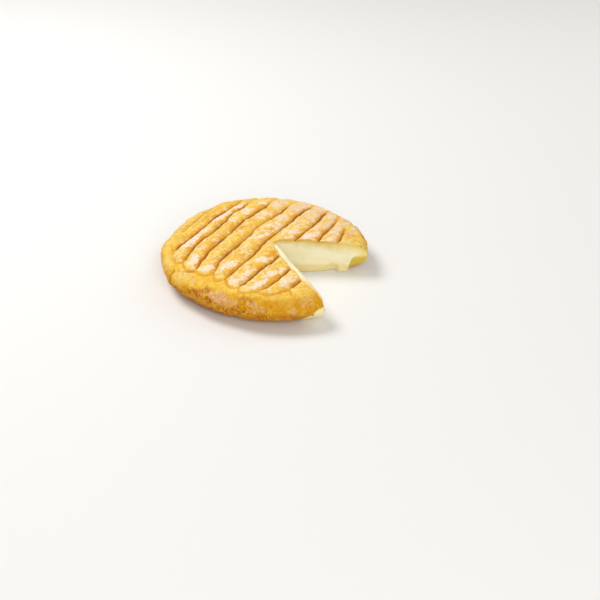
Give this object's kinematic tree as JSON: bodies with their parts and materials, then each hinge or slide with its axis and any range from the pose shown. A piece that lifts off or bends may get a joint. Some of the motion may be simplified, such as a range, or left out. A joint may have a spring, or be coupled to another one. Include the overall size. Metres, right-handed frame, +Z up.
{
  "type": "washed rind cheese wheel with a wedge cut out",
  "caption": "Round soft washed rind cheese with parallel rack creases across its top and a wedge cut out, showing pale paste on the cut faces.",
  "frame": {"origin": "centre of the bounding box's base, on the flat underside", "axes": "+Z up out of the creased top; +X along the middle of the missing wedge; the creases run close to Y, 6 degrees off it"},
  "size_m": [0.1956, 0.1962, 0.0331],
  "materials": {
    "rind": "satin"
  },
  "bodies": {
    "root": {"cheese_wheel": "rind"}
  },
  "joints": []
}
